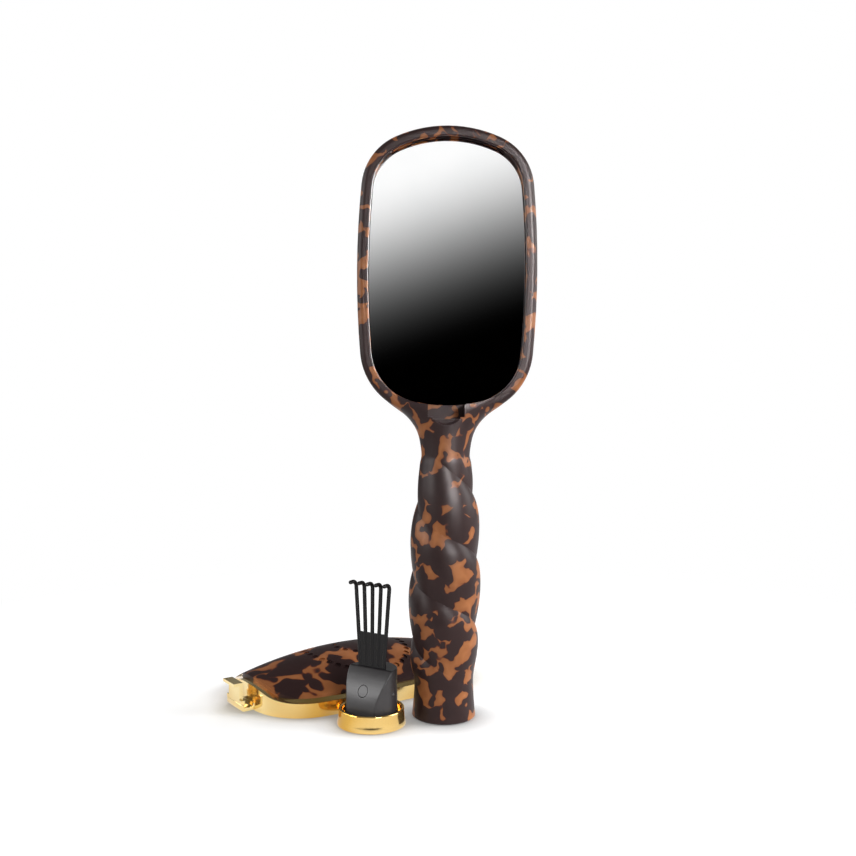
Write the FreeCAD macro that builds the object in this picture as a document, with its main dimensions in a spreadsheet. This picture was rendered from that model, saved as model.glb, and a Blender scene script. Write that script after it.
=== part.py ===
import FreeCAD, Part
import Sketcher
import math
import os

# A boar bristle grooming brush in three groups, as it stands on a table.
# The frame stands on the open foot of its twisted handle, mirror to the front (-Y), bristles behind (+Y).
# The cover, which clips over the mirror, lies beside it, dome up.
# The cleaning tool, which is kept in the handle, stands on its own gold cup.
# The origin is the centre of the handle's foot, +Z is up the handle, all lengths are millimetres.

SIZES = {
    # Handle, a two-strand twist
    "handle_length": 104.8,
    "handle_radius": 14.75,
    "groove_depth": 1.8,
    "twist_lead": 53.4,
    "twist_start": 45.6,
    "twist_tilt": 12.0,
    # Bore for the tool
    "bore_radius": 10.6,
    "bore_length": 18.0,
    "shaft_radius": 10.0,
    "shaft_end": 52.0,
    # Oval opening of the ring head; every other oval is an offset of it
    "opening_width": 62.6,
    "opening_height": 105.8,
    "opening_middle": 177.3,
    "top_radius": 46.5,
    "bottom_radius": 60.0,
    "side_radius": 365.0,
    "top_corner": 18.4,
    "bottom_corner": 22.0,
    # Ring head, front to back
    "ring_wall": 4.3,
    "ring_front": 5.9,
    "recess_depth": 4.4,
    "glass_thickness": 2.0,
    "tape_thickness": 0.6,
    "web_thickness": 2.4,
    "cushion_recess": 4.6,
    "front_round": 2.4,
    "back_round": 3.4,
    "neck_depth": 10.5,
    "edge_break": 0.45,
    "foot_break": 0.6,
    # Fits
    "fit": 0.3,
    "tape_margin": 3.0,
    "overrun": 5.0,
    # Bristles
    "base_thickness": 1.2,
    "cushion_rise": 3.6,
    "cushion_cross_radius": 114.0,
    "cushion_long_radius": 340.0,
    "tuft_pitch": 8.4,
    "row_pitch": 7.6,
    "tuft_margin": 5.5,
    "tuft_root_radius": 1.3,
    "tuft_tip_radius": 2.0,
    "tuft_length": 12.0,
    "tuft_seat": 2.4,
    # Cover
    "rim_wall": 3.2,
    "bezel_rise": 1.1,
    "bezel_sink": 0.25,
    "rim_height": 5.7,
    "rim_end_height": 10.0,
    "rim_arch_half": 27.9,
    "flange_thickness": 1.0,
    "dome_wall": 1.8,
    "dome_apex": 18.3,
    "dome_cross_radius": 43.5,
    "dome_long_radius": 180.0,
    "dimple_radius": 1.4,
    "dimple_depth": 0.6,
    "dimple_ring": 22.8,
    "dimple_inner_ring": 9.5,
    "bead_width": 44.0,
    "bead_reach": 0.6,
    "bead_thickness": 1.3,
    # Latch clip of the cover
    "clip_width": 13.8,
    "clip_height": 11.6,
    "clip_shoulder": 1.7,
    "clip_shoulder_height": 4.7,
    "clip_thickness": 1.5,
    "clip_gap": 3.8,
    "clip_lip_reach": 2.5,
    "clip_lip_thickness": 1.2,
    "clip_lift": 0.3,
    "clip_bend": 3.2,
    "clip_corner": 1.3,
    "clip_inner_corner": 0.5,
    "catch_overlap": 0.55,
    # Finger notch in the neck
    "notch_width": 14.4,
    "notch_reach": 7.8,
    "notch_depth": 2.5,
    "notch_flare": 1.0,
    # Where the long side of the cover lies, at its middle
    "cover_x": -20.37,
    "cover_y": 14.5745,
    "cover_heading": 36.3,
    # Cleaning tool
    "tool_x": -28.4,
    "tool_y": -10.0,
    "tool_turn": -30.5,
    "cup_foot_radius": 13.5,
    "cup_rim_radius": 12.85,
    "cup_height": 6.4,
    "cup_wall": 1.2,
    "cup_floor": 1.6,
    "cup_edge_round": 0.5,
    "plug_radius": 10.2,
    "plug_top_radius": 9.9,
    "plug_height": 15.4,
    "plug_shoulder": 0.6,
    "scarf_top": 1.5,
    "scarf_foot": 8.0,
    "nub_radius": 1.0,
    "nub_height": 6.3,
    "pin_radius": 2.1,
    "pin_height": 7.5,
    "pin_reach": 5.0,
    "rake_set_back": 0.2,
    "rake_height": 33.9,
    "rake_plate": 0.7,
    "tang_depth": 13.0,
    "web_height": 13.5,
    "tine_radius": 0.78,
    "tine_root_pitch": 2.75,
    "tine_tip_pitch": 3.95,
    "hook_reach": 4.5,
    "hook_bend": 2.0,
}

# Radius and groove depth of the handle at stations up its length
STATION_SHARES = (0.0, 0.06, 0.1, 0.145, 0.21, 0.27, 0.44, 0.69, 0.84, 0.93, 1.0)
SWELL_SHARES = (0.864, 0.824, 0.807, 0.807, 0.905, 0.957, 1.0, 0.968, 0.85, 0.74, 0.655)
GROOVE_SHARES = (0.0, 0.0, 0.0, 0.06, 0.7, 1.0, 1.0, 1.0, 0.95, 0.6, 0.0)
TILT_SHARES = (0.0, 0.1, 0.2, 0.4, 0.8, 1.0, 1.0, 1.0, 0.8, 0.4, 0.0)
HANDLE_SECTIONS = 44
# One strand from crease to crease: the way round as a share of half a turn, the rise as a share of the depth
STRAND_WAY_SHARES = (0.0, 0.1, 0.28, 0.48, 0.63, 0.8, 0.92, 1.0)
STRAND_RISE_SHARES = (0.0, 0.28, 0.67, 0.94, 1.0, 0.86, 0.48, 0.0)

# Neck from the handle's top into the ring: height as a share of the way from the handle to the sunk end,
# half width as a share of the ring's outer half width, half depth as a share of the neck's depth
NECK_RISE_SHARES = (0.17, 0.32, 0.45, 0.55, 0.64, 0.733, 0.85, 1.0)
NECK_WIDTH_SHARES = (0.289, 0.326, 0.395, 0.48, 0.588, 0.682, 0.758, 0.814)
NECK_DEPTH_SHARES = (0.933, 0.962, 0.99, 1.0, 0.981, 0.914, 0.78, 0.476)
NECK_END_SHARE = 0.194

RING_DIMPLES = 36
INNER_DIMPLES = 12
TINES = 5
OUTER_TINE = (TINES - 1) / 2

# Edges closer than this to a plane lie in it
NEAR = 0.001

X_AXIS = FreeCAD.Vector(1, 0, 0)
Y_AXIS = FreeCAD.Vector(0, 1, 0)
Z_AXIS = FreeCAD.Vector(0, 0, 1)
ORIGIN = FreeCAD.Vector(0, 0, 0)
NO_TURN = FreeCAD.Rotation()

doc = FreeCAD.newDocument("grooming_brush")
sheet = doc.addObject("Spreadsheet::Sheet", "brush")
for row, (alias, number) in enumerate(SIZES.items(), start=1):
    sheet.set(f"A{row}", alias)
    sheet.set(f"B{row}", str(number))
    sheet.setAlias(f"B{row}", alias)
doc.recompute()

nodes = []


def value(formula):
    """The number that a formula on the sheet gives."""
    return float(sheet.evalExpression(formula))


def vector(x, y, z):
    """A point from three formulas."""
    return FreeCAD.Vector(value(x), value(y), value(z))


def node(obj, label):
    """Marks a finished piece, which is written out under its label."""
    obj.Label = label
    nodes.append(obj)
    return obj


def primitive(kind, name, formulas, place=ORIGIN, turn=NO_TURN):
    """A Part primitive whose sizes follow the sheet."""
    obj = doc.addObject(f"Part::{kind}", name)
    for prop, formula in formulas.items():
        obj.setExpression(prop, formula)
    obj.Placement = FreeCAD.Placement(place, turn)
    return obj


def box(name, low, high):
    """A box between two corners, each given as three formulas."""
    length, width, height = (f"({b}) - ({a})" for a, b in zip(low, high))
    return primitive("Box", name, {"Length": length, "Width": width, "Height": height}, vector(*low))


def cylinder(name, radius, length, place, turn=NO_TURN):
    """A cylinder from its foot centre, along +Z before it is turned."""
    return primitive("Cylinder", name, {"Radius": radius, "Height": length}, place, turn)


def joined(name, shapes):
    obj = doc.addObject("Part::MultiFuse", name)
    obj.Shapes = shapes
    return obj


def cut(name, base, tool):
    obj = doc.addObject("Part::Cut", name)
    obj.Base = base
    obj.Tool = tool
    return obj


def common(name, base, tool):
    obj = doc.addObject("Part::Common", name)
    obj.Base = base
    obj.Tool = tool
    return obj


def turn_about(axis, formula):
    return FreeCAD.Rotation(axis, value(formula))


# The oval of the ring's opening, eight arcs that meet smoothly
def arc(centre, radius, start, end):
    circle = Part.Circle(centre, Z_AXIS, radius)
    angles = [math.atan2(p.y - centre.y, p.x - centre.x) for p in (start, end)]
    if angles[1] < angles[0]:
        angles[1] += 2 * math.pi
    return Part.ArcOfCircle(circle, angles[0], angles[1])


def corner_centre(end, end_radius, side, side_radius, corner, sign):
    """Where the corner arc's centre lies, so that it touches the end arc and the side arc from inside."""
    reach, across = end_radius - corner, side_radius - corner
    gap = (end - side).Length
    along = (across**2 - reach**2 + gap**2) / (2 * gap)
    off = math.sqrt(across**2 - along**2)
    unit = (end - side) / gap
    return side + unit * along + FreeCAD.Vector(-unit.y, unit.x, 0) * off * sign


def opening_sketch():
    half_width, half_height = value("brush.opening_width / 2"), value("brush.opening_height / 2")
    side_radius = value("brush.side_radius")
    ends = {1: value("brush.top_radius"), -1: value("brush.bottom_radius")}
    corners = {1: value("brush.top_corner"), -1: value("brush.bottom_corner")}
    end_centre = {k: FreeCAD.Vector(0, k * (half_height - ends[k]), 0) for k in ends}
    side_centre = {k: FreeCAD.Vector(k * (half_width - side_radius), 0, 0) for k in ends}

    def touch(side, end):
        middle = corner_centre(
            end_centre[end], ends[end], side_centre[side], side_radius, corners[end], side * end
        )
        on_side = middle + (middle - side_centre[side]).normalize() * corners[end]
        on_end = middle + (middle - end_centre[end]).normalize() * corners[end]
        return middle, on_side, on_end

    right_top, left_top = touch(1, 1), touch(-1, 1)
    left_bottom, right_bottom = touch(-1, -1), touch(1, -1)
    outline = doc.addObject("Sketcher::SketchObject", "opening_outline")
    outline.Placement = FreeCAD.Placement(
        vector("0", "0", "brush.opening_middle"), FreeCAD.Rotation(X_AXIS, 90)
    )
    outline.addGeometry(
        [
            arc(side_centre[1], side_radius, right_bottom[1], right_top[1]),
            arc(right_top[0], corners[1], right_top[1], right_top[2]),
            arc(end_centre[1], ends[1], right_top[2], left_top[2]),
            arc(left_top[0], corners[1], left_top[2], left_top[1]),
            arc(side_centre[-1], side_radius, left_top[1], left_bottom[1]),
            arc(left_bottom[0], corners[-1], left_bottom[1], left_bottom[2]),
            arc(end_centre[-1], ends[-1], left_bottom[2], right_bottom[2]),
            arc(right_bottom[0], corners[-1], right_bottom[2], right_bottom[1]),
        ]
    )
    arcs = range(8)
    for this in arcs:
        outline.addConstraint(Sketcher.Constraint("Tangent", this, 2, (this + 1) % len(arcs), 1))
    for this, axis in ((0, -1), (4, -1), (2, -2), (6, -2)):
        outline.addConstraint(Sketcher.Constraint("PointOnObject", this, 3, axis))
    for this, same in ((0, 4), (1, 3), (5, 7)):
        outline.addConstraint(Sketcher.Constraint("Equal", this, same))
    bound = (
        ("Radius", (0,), "side_bow", "brush.side_radius"),
        ("Radius", (2,), "top_bow", "brush.top_radius"),
        ("Radius", (6,), "bottom_bow", "brush.bottom_radius"),
        ("Radius", (1,), "top_turn", "brush.top_corner"),
        ("Radius", (5,), "bottom_turn", "brush.bottom_corner"),
        ("DistanceX", (-1, 1, 0, 3), "right_centre", "brush.opening_width / 2 - brush.side_radius"),
        ("DistanceX", (-1, 1, 4, 3), "left_centre", "brush.side_radius - brush.opening_width / 2"),
        ("DistanceY", (-1, 1, 2, 3), "top_centre", "brush.opening_height / 2 - brush.top_radius"),
        ("DistanceY", (-1, 1, 6, 3), "bottom_centre", "brush.bottom_radius - brush.opening_height / 2"),
    )
    for kind, places, name, formula in bound:
        index = outline.addConstraint(Sketcher.Constraint(kind, *places, value(formula)))
        outline.renameConstraint(index, name)
        outline.setExpression(f"Constraints.{name}", formula)
    return outline


opening = opening_sketch()
doc.recompute()


def grown_outline(name, offset):
    """The oval moved out by an offset, or in where it is negative."""
    outline = doc.addObject("Part::Offset2D", f"{name}_outline")
    outline.Source = opening
    outline.setExpression("Value", offset)
    return outline


def prism(name, offset, front, back):
    """The oval, grown by an offset or as it is, as a block from one Y to another."""
    block = doc.addObject("Part::Extrusion", name)
    block.Base = grown_outline(name, offset) if offset else opening
    block.DirMode = "Custom"
    block.Dir = Y_AXIS
    block.Solid = True
    block.setExpression("LengthFwd", back)
    block.setExpression("LengthRev", f"-({front})")
    return block


def sloped_prism(name, low_offset, low, high_offset, high):
    """A block from the oval with one offset at one Y to the oval with another offset at another Y."""
    ends = []
    for tag, offset, level in (("low", low_offset, low), ("high", high_offset, high)):
        outline = grown_outline(f"{name}_{tag}", offset)
        doc.recompute()
        wire = Part.Wire(Part.sortEdges(outline.Shape.Edges)[0])
        wire.translate(Y_AXIS * value(level))
        ends.append(wire)
    block = doc.addObject("Part::Feature", name)
    block.Shape = Part.makeLoft(ends, True, True)
    return block


def crown(name, apex, cross_radius, long_radius, middle, outward):
    """A ring solid whose outer crest bows across X by one radius and along Z by another."""
    centre = vector("0", f"({apex}) - ({outward}) * ({long_radius})", middle)
    radii = {"Radius1": f"({long_radius}) - ({cross_radius})", "Radius2": cross_radius}
    return primitive("Torus", name, radii, centre, FreeCAD.Rotation(Y_AXIS, 90))


# Depths through the ring head, from front to back
RING_FRONT = "-brush.ring_front"
MIRROR_FACE = "(brush.recess_depth - brush.ring_front)"
GLASS_BACK = f"({MIRROR_FACE} + brush.glass_thickness)"
WEB_FRONT = f"({GLASS_BACK} + brush.tape_thickness)"
WEB_BACK = f"({WEB_FRONT} + brush.web_thickness)"
RING_BACK = f"({WEB_BACK} + brush.cushion_recess)"
FAR_FRONT = "-(brush.handle_radius + brush.overrun)"

# Heights along the ring head
OPENING_FOOT = "(brush.opening_middle - brush.opening_height / 2)"
OPENING_TOP = "(brush.opening_middle + brush.opening_height / 2)"
COVER_FOOT = f"({OPENING_FOOT} + brush.fit)"
COVER_TOP = f"({OPENING_TOP} - brush.fit)"
CLIP_FACE = f"({COVER_FOOT} - brush.clip_gap - brush.clip_thickness)"

# Heights above the cover's lower edge, which faces the mirror
RIM_FOOT = f"({MIRROR_FACE} - brush.fit)"


def above_rim(height):
    return f"({RIM_FOOT} - ({height}))"


def smooth(stations, shares, at):
    """A smooth line through the shares at their stations."""
    last = len(stations) - 1
    right = next(i for i in range(1, last + 1) if at <= stations[i] or i == last)
    left = right - 1

    def slope(i):
        low, high = max(i - 1, 0), min(i + 1, last)
        return (shares[high] - shares[low]) / (stations[high] - stations[low])

    span = stations[right] - stations[left]
    part = (at - stations[left]) / span
    return (
        shares[left] * (2 * part**3 - 3 * part**2 + 1)
        + slope(left) * span * (part**3 - 2 * part**2 + part)
        + shares[right] * (3 * part**2 - 2 * part**3)
        + slope(right) * span * (part**3 - part**2)
    )


def strand_section(share):
    """Two bowed strands that meet in two creases, turned by the twist and tilted as they lie."""
    height = value("brush.handle_length") * share
    crest = value("brush.handle_radius") * smooth(STATION_SHARES, SWELL_SHARES, share)
    depth = value("brush.groove_depth") * max(smooth(STATION_SHARES, GROOVE_SHARES, share), 0)
    tilt = value("brush.twist_tilt") * smooth(STATION_SHARES, TILT_SHARES, share)
    turn = value("brush.twist_start") - 360 * height / value("brush.twist_lead")
    strands = []
    for first in (0, 1):
        points = []
        for way, rise in zip(STRAND_WAY_SHARES, STRAND_RISE_SHARES):
            angle = math.pi * (first + way)
            reach = crest - depth * (1 - rise)
            points.append(FreeCAD.Vector(reach * math.cos(angle), reach * math.sin(angle), 0))
        bow = Part.BSplineCurve()
        bow.interpolate(Points=points, Parameters=list(STRAND_WAY_SHARES))
        strands.append(bow.toShape())
    wire = Part.Wire(strands)
    lean = FreeCAD.Rotation(Y_AXIS, -tilt)
    wire.Placement = FreeCAD.Placement(
        FreeCAD.Vector(0, 0, height), lean.multiply(FreeCAD.Rotation(Z_AXIS, turn))
    )
    return wire


def neck_section(rise, width, depth):
    """An oval of the neck, split at the same two places as the handle's last section."""
    top = value("brush.handle_length")
    end = value(f"{OPENING_FOOT} + (brush.opening_middle - {OPENING_FOOT}) * {NECK_END_SHARE}")
    half_width = value("brush.opening_width / 2 + brush.ring_wall") * width
    half_depth = value("brush.neck_depth") * depth
    turn = math.radians(value("brush.twist_start - 360 * brush.handle_length / brush.twist_lead"))
    centre = FreeCAD.Vector(0, 0, top + (end - top) * rise)
    start = math.atan2(half_width * math.sin(turn), half_depth * math.cos(turn))
    wide, deep = X_AXIS * half_width, Y_AXIS * half_depth
    if half_width >= half_depth:
        oval = Part.Ellipse(centre + wide, centre + deep, centre)
    else:
        oval = Part.Ellipse(centre + deep, centre - wide, centre)
        start -= math.pi / 2
    halves = [Part.ArcOfEllipse(oval, start + math.pi * i, start + math.pi * (i + 1)) for i in (0, 1)]
    return Part.Wire([half.toShape() for half in halves])


def make_handle_frame():
    sections = [strand_section(i / HANDLE_SECTIONS) for i in range(HANDLE_SECTIONS + 1)]
    for shares in zip(NECK_RISE_SHARES, NECK_WIDTH_SHARES, NECK_DEPTH_SHARES):
        sections.append(neck_section(*shares))
    grip = doc.addObject("Part::Feature", "twisted_grip")
    grip.Shape = Part.makeLoft(sections, True, False)

    head = prism("head_block", "brush.ring_wall", RING_FRONT, RING_BACK)
    doc.recompute()
    rounded = doc.addObject("Part::Fillet", "head_rounded")
    rounded.Base = head
    faces = {value(RING_FRONT): value("brush.front_round"), value(RING_BACK): value("brush.back_round")}
    edges = []
    for index, edge in enumerate(head.Shape.Edges, start=1):
        for depth, radius in faces.items():
            if max(abs(edge.BoundBox.YMin - depth), abs(edge.BoundBox.YMax - depth)) < NEAR:
                edges.append((index, radius, radius))
    rounded.Edges = edges
    body = joined("frame_body", [grip, rounded])

    bore = cylinder("tool_bore", "brush.bore_radius", "brush.bore_length + brush.overrun",
                    vector("0", "0", "-brush.overrun"))
    shaft = cylinder("rake_bore", "brush.shaft_radius", "brush.shaft_end", ORIGIN)
    recess = prism("mirror_recess", None, FAR_FRONT, WEB_FRONT)
    back = prism("cushion_recess", None, WEB_BACK, f"({RING_BACK} + brush.overrun)")
    edge = sloped_prism("opening_edge", "-brush.edge_break", f"{RING_FRONT} + 2 * brush.edge_break",
                        "brush.edge_break", RING_FRONT)
    cuts = [bore, shaft, recess, back, edge, foot_edge(), bead_groove(), *notch_cuts()]
    frame = cut("handle_frame", body, joined("frame_cuts", cuts))
    return node(frame, "handle_frame")


def foot_edge():
    """What is trimmed from the foot's outer edge."""
    foot = f"(brush.handle_radius * {SWELL_SHARES[0]})"
    block = cylinder("foot_block", "brush.handle_radius", "brush.foot_break", ORIGIN)
    core = primitive("Cone", "foot_core", {
        "Radius1": f"{foot} - brush.foot_break", "Radius2": foot, "Height": "brush.foot_break"})
    return cut("foot_trim", block, core)


def bead_block(name, offset, play):
    """A length of the oval's far end, which a bead on the cover's rim snaps into."""
    half = f"(brush.bead_width / 2 + {play})"
    low = above_rim(f"brush.flange_thickness + brush.bead_thickness + {play}")
    high = above_rim(f"brush.flange_thickness - {play}")
    ring = prism(f"{name}_ring", offset, low, high)
    end = box(f"{name}_end", (f"-{half}", low, "brush.opening_middle"),
              (half, high, f"({OPENING_TOP} + brush.overrun)"))
    return common(name, ring, end)


def bead_groove():
    return bead_block("bead_groove", "brush.bead_reach + brush.fit", "brush.fit")


def scoop_outline(level, radius):
    """The U of the fingertip scoop at one Y."""
    middle = value(f"{OPENING_FOOT} - brush.notch_reach + brush.notch_width / 2")
    top = value(f"{OPENING_FOOT} + brush.fit + brush.ring_wall")
    right, left = (FreeCAD.Vector(side * radius, level, middle) for side in (1, -1))
    low = FreeCAD.Vector(0, level, middle - radius)
    high_left, high_right = (FreeCAD.Vector(p.x, level, top) for p in (left, right))
    return Part.Wire([
        Part.LineSegment(high_right, right).toShape(),
        Part.Arc(right, low, left).toShape(),
        Part.LineSegment(left, high_left).toShape(),
        Part.LineSegment(high_left, high_right).toShape(),
    ])


def notch_cuts():
    """The slot for the cover's clip, the ledges that catch its shoulders, and the scoop for a fingertip."""
    half = "(brush.clip_width / 2 + brush.fit)"
    neck = "(brush.clip_width / 2 - brush.clip_shoulder + brush.fit)"
    ledge = f"({CLIP_FACE} + brush.catch_overlap)"
    floor = f"({CLIP_FACE} - brush.fit)"
    shelf = above_rim("brush.clip_shoulder_height + brush.fit")
    inside = f"({OPENING_FOOT} + brush.fit + brush.ring_wall)"
    slot = box("clip_slot", (f"-{half}", FAR_FRONT, ledge), (half, MIRROR_FACE, inside))
    pocket = box("clip_pocket", (f"-{half}", shelf, floor), (half, MIRROR_FACE, inside))
    mouth = box("clip_mouth", (f"-{neck}", FAR_FRONT, floor), (neck, MIRROR_FACE, inside))
    front, depth, flare = (value(f"brush.{size}") for size in ("neck_depth", "notch_depth", "notch_flare"))
    radius = value("brush.notch_width / 2")
    scoop = doc.addObject("Part::Feature", "fingertip_scoop")
    scoop.Shape = Part.makeLoft(
        [scoop_outline(depth - front, radius - flare), scoop_outline(-depth - front, radius + flare)],
        True,
        True,
    )
    return [slot, pocket, mouth, scoop]


def make_mirror():
    glass = prism("mirror_glass", "-brush.fit", MIRROR_FACE, GLASS_BACK)
    tape = prism("mirror_tape", "-brush.tape_margin", GLASS_BACK, WEB_FRONT)
    node(glass, "mirror_glass")
    node(tape, "mirror_tape")


# Bristle side
BASE_BACK = f"({WEB_BACK} + brush.base_thickness)"
CUSHION_APEX = f"({RING_BACK} + brush.cushion_rise)"
TUFT_ROOT = f"({RING_BACK} - brush.tuft_seat)"


def tuft_places():
    """Rows of places across the oval, every other row set over by half a pitch."""
    field = grown_outline("tuft_field", "-brush.tuft_margin")
    doc.recompute()
    area = Part.Face(Part.Wire(field.Shape.Edges))
    pitch, step = value("brush.tuft_pitch"), value("brush.row_pitch")
    middle, half = value("brush.opening_middle"), value("brush.opening_height / 2")
    count = int(half / step)
    rows = []
    for line in range(-count, count + 1):
        shift = pitch / 2 if line % 2 else 0
        across = range(-int(half / pitch), int(half / pitch) + 1)
        spots = [FreeCAD.Vector(i * pitch + shift, 0, middle + line * step) for i in across]
        inside = [spot for spot in spots if area.isInside(spot, Part.Precision.confusion(), True)]
        if inside:
            rows.append(inside)
    return rows


def make_bristles():
    base = prism("bristle_base", "-brush.fit", WEB_BACK, BASE_BACK)
    block = prism("cushion_block", "-brush.fit", BASE_BACK, f"({CUSHION_APEX} + brush.overrun)")
    bow = crown("cushion_bow", CUSHION_APEX, "brush.cushion_cross_radius", "brush.cushion_long_radius",
                "brush.opening_middle", "1")
    pad = common("cushion_pad", block, bow)
    rows = tuft_places()
    root, tip = value("brush.tuft_root_radius"), value("brush.tuft_tip_radius")
    foot, apex = value(TUFT_ROOT), value(CUSHION_APEX)
    length = value("brush.tuft_length")
    stem = Part.makeCylinder(root, apex - foot, FreeCAD.Vector(0, foot, 0), Y_AXIS)
    flare = Part.makeCone(root, tip, length, FreeCAD.Vector(0, apex, 0), Y_AXIS)
    tuft = stem.fuse(flare).removeSplitter()
    socket_radius = value("brush.tuft_root_radius + brush.fit / 3")
    socket = Part.makeCylinder(socket_radius, apex - foot + length, FreeCAD.Vector(0, foot, 0), Y_AXIS)
    sockets = doc.addObject("Part::Feature", "tuft_sockets")
    sockets.Shape = Part.makeCompound([socket.translated(spot) for row in rows for spot in row])
    node(base, "bristle_base")
    node(cut("bristle_cushion", pad, sockets), "bristle_cushion")
    for number, row in enumerate(rows, start=1):
        tufts = doc.addObject("Part::Feature", f"bristle_row_{number:02d}")
        tufts.Shape = Part.makeCompound([tuft.translated(spot) for spot in row])
        node(tufts, f"bristle_row_{number:02d}")


# Cover: modelled as it sits in the ring, then laid on the table
def laid_down():
    seat = vector("brush.opening_width / 2", RIM_FOOT, "brush.opening_middle")
    flat = FreeCAD.Placement(ORIGIN, FreeCAD.Rotation(X_AXIS, -90))
    heading = turn_about(Z_AXIS, "brush.cover_heading - 90")
    floor = FreeCAD.Placement(vector("brush.cover_x", "brush.cover_y", "0"), heading)
    return floor.multiply(flat).multiply(FreeCAD.Placement(-seat, NO_TURN))


def rim_clearance():
    """What is cleared above the rim: flat along its sides, sweeping up to a crest in the middle of both ends."""
    rise = value("brush.rim_end_height - brush.rim_height")
    arch, wide = value("brush.rim_arch_half"), value("brush.opening_width / 2")
    radius = (arch**2 + rise**2) / (4 * rise)
    level, high = value(above_rim("brush.rim_height")), value(above_rim("brush.dome_apex + brush.overrun"))
    foot, top = value(f"{COVER_FOOT} - brush.overrun"), value(f"{COVER_TOP} + brush.overrun")

    def swept(across):
        out = min(abs(across), arch - abs(across))
        bow = radius - math.sqrt(radius**2 - out**2)
        lift = rise - bow if abs(across) < arch / 2 else bow
        return FreeCAD.Vector(across, level - lift, foot)

    joints = (-arch, -arch / 2, arch / 2, arch)
    arcs = [Part.Arc(swept(a), swept((a + b) / 2), swept(b)).toShape() for a, b in zip(joints, joints[1:])]
    sides = [FreeCAD.Vector(side * wide, depth, foot) for side, depth in
             ((1, level), (1, high), (-1, high), (-1, level))]
    straight = [swept(arch), *sides, swept(-arch)]
    lines = [Part.LineSegment(a, b).toShape() for a, b in zip(straight, straight[1:])]
    over = doc.addObject("Part::Feature", "rim_over")
    over.Shape = Part.Face(Part.Wire([*arcs, *lines])).extrude(Z_AXIS * (top - foot))
    return over


def make_cover_rim():
    outer = "-brush.fit"
    inner = "-(brush.fit + brush.rim_wall)"
    flange = "-(brush.fit + brush.rim_wall + brush.dome_wall)"
    past = above_rim("-brush.overrun")
    band = prism("rim_band", outer, above_rim("brush.dome_apex"), RIM_FOOT)
    hollow = prism("rim_hollow", inner, above_rim("brush.dome_apex"), above_rim("brush.flange_thickness"))
    mouth = prism("rim_mouth", flange, above_rim("brush.rim_end_height"), past)
    bezel = sloped_prism("rim_bezel", outer, above_rim("brush.rim_height - brush.bezel_sink"),
                         inner, above_rim("brush.rim_height + brush.bezel_rise"))
    play = "(brush.clip_width / 2 + brush.fit / 3)"
    strip_seat = box("strip_seat",
                     (f"-{play}", above_rim("brush.clip_bend"), f"({COVER_FOOT} - brush.overrun)"),
                     (play, past, f"({COVER_FOOT} + brush.clip_thickness)"))
    bead = bead_block("rim_bead", "brush.bead_reach - brush.fit", "0.0")
    swept = cut("rim_swept", band, rim_clearance())
    rim = cut("cover_rim", joined("rim_body", [swept, bezel, bead]),
              joined("rim_cuts", [hollow, mouth, strip_seat]))
    rim.Placement = laid_down()
    node(rim, "cover_rim")


def dome_point(across, along):
    """A point of the dome's outer face and the way it faces there."""
    cross, bow = value("brush.dome_cross_radius"), value("brush.dome_long_radius")
    crest = value(above_rim("brush.dome_apex"))
    axle = FreeCAD.Vector(0, crest + bow, value("brush.opening_middle"))
    lean = along - axle.z
    core = bow - cross
    out = core + math.sqrt(cross**2 - across**2)
    depth = math.sqrt(out**2 - lean**2)
    core_point = axle + FreeCAD.Vector(0, -depth, lean) * (core / out)
    point = axle + FreeCAD.Vector(across, -depth, lean)
    return point, (point - core_point).normalize()


def dimples():
    """Rings of round blind dimples, each square to the dome where it stands."""
    middle = value("brush.opening_middle")
    turn = FreeCAD.Rotation
    cuts = []
    for count, ring in ((RING_DIMPLES, "brush.dimple_ring"), (INNER_DIMPLES, "brush.dimple_inner_ring")):
        for number in range(count):
            angle = 2 * math.pi * number / count
            reach = value(ring)
            spot, facing = dome_point(reach * math.cos(angle), middle + reach * math.sin(angle))
            foot = spot - facing * value("brush.dimple_depth")
            cuts.append(cylinder(f"dimple_{len(cuts) + 1:02d}", "brush.dimple_radius",
                                 "brush.dimple_depth + brush.overrun", foot, turn(Z_AXIS, facing)))
    return cuts


def make_cover_dome():
    outer = "-(brush.fit + brush.rim_wall)"
    inner = "-(brush.fit + brush.rim_wall + brush.dome_wall)"
    top = above_rim("brush.dome_apex + brush.overrun")
    block = prism("dome_block", outer, top, above_rim("brush.flange_thickness"))
    room = prism("dome_room", inner, top, above_rim("-brush.overrun"))
    skin = crown("dome_skin", above_rim("brush.dome_apex"), "brush.dome_cross_radius",
                 "brush.dome_long_radius", "brush.opening_middle", "-1")
    lining = crown("dome_lining", above_rim("brush.dome_apex - brush.dome_wall"),
                   "brush.dome_cross_radius - brush.dome_wall", "brush.dome_long_radius - brush.dome_wall",
                   "brush.opening_middle", "-1")
    shell = cut("dome_shell", common("dome_form", block, skin), common("dome_inside", room, lining))
    dome = cut("cover_dome", shell, joined("dome_dimples", dimples()))
    dome.Placement = laid_down()
    node(dome, "cover_dome")


def low_rounded(block, radius):
    """A box with its two long edges nearest the mirror rounded."""
    doc.recompute()
    rounded = doc.addObject("Part::Fillet", f"{block.Name}_rounded")
    rounded.Base = block
    near = block.Shape.BoundBox.YMax
    span = block.Shape.BoundBox.XLength
    rounded.Edges = [
        (index, value(radius), value(radius))
        for index, edge in enumerate(block.Shape.Edges, start=1)
        if abs(edge.BoundBox.YMin - near) < NEAR and abs(edge.BoundBox.XLength - span) < NEAR
    ]
    return rounded


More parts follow.
